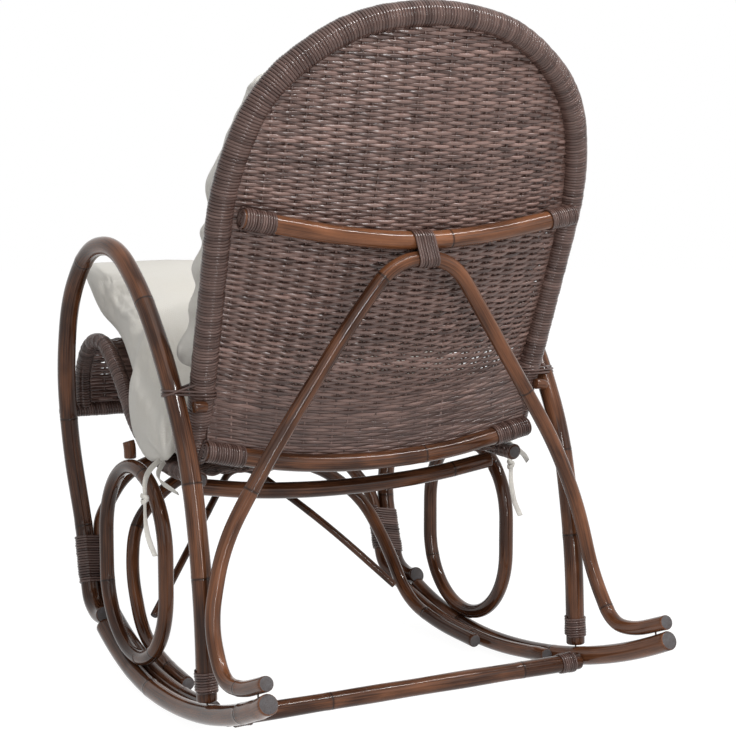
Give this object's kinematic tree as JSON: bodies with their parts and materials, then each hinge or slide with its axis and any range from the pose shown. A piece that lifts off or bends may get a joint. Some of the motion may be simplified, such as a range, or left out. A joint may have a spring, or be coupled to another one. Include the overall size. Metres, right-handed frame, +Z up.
{
  "type": "rocking chair",
  "caption": "Rattan rocking chair: two bent-pole side frames on curved runners, rings under a woven seat, a woven back with a wrapped rim and a bent brace behind it, and cream seat and back cushions.",
  "frame": {"origin": "floor point midway between the two runners, under the lowest point of their curve", "axes": "+Z up, -Y to the front of the chair, +X to the sitter's left"},
  "size_m": [0.6592, 0.7873, 0.9845],
  "materials": {
    "rattan_pole": "satin",
    "woven_cane": "matte",
    "cane_wrap": "matte",
    "binding_cane": "satin",
    "dowel_wood": "matte",
    "cushion_cotton": "matte",
    "tie_tape": "matte",
    "nail_steel": "satin"
  },
  "bodies": {
    "root": {"apron_rail": "rattan_pole", "apron_rail_wrap": "cane_wrap", "apron_weave": "woven_cane", "arm_ties": "binding_cane", "back_brace": "rattan_pole", "back_cushion": "cushion_cotton", "back_rim": "rattan_pole", "back_rim_wrap": "cane_wrap", "back_weave": "woven_cane", "brace_tie": "binding_cane", "crossbar_lashings": "binding_cane", "fork_lashings": "binding_cane", "frame_nails": "nail_steel", "front_arch": "rattan_pole", "left_arm_hoop": "rattan_pole", "left_peg": "rattan_pole", "left_ring": "rattan_pole", "left_ring_post": "rattan_pole", "left_runner": "rattan_pole", "left_seat_rail": "rattan_pole", "left_seat_rail_wrap": "cane_wrap", "left_tie_long": "tie_tape", "left_tie_short": "tie_tape", "lower_back_bar": "rattan_pole", "lower_bar_lashings": "binding_cane", "rear_crossbar": "rattan_pole", "rear_leg_lashings": "binding_cane", "right_arm_hoop": "rattan_pole", "right_peg": "rattan_pole", "right_ring": "rattan_pole", "right_ring_post": "rattan_pole", "right_runner": "rattan_pole", "right_seat_rail": "rattan_pole", "right_seat_rail_wrap": "cane_wrap", "right_tie_long": "tie_tape", "right_tie_short": "tie_tape", "seat_arch": "rattan_pole", "seat_cushion": "cushion_cotton", "seat_front_rail": "rattan_pole", "seat_rear_rail": "rattan_pole", "seat_weave": "woven_cane", "splice_dowels": "dowel_wood", "tie_knots": "tie_tape", "upper_back_bar": "rattan_pole", "upper_bar_lashings": "binding_cane", "v_stay": "rattan_pole"}
  },
  "joints": []
}
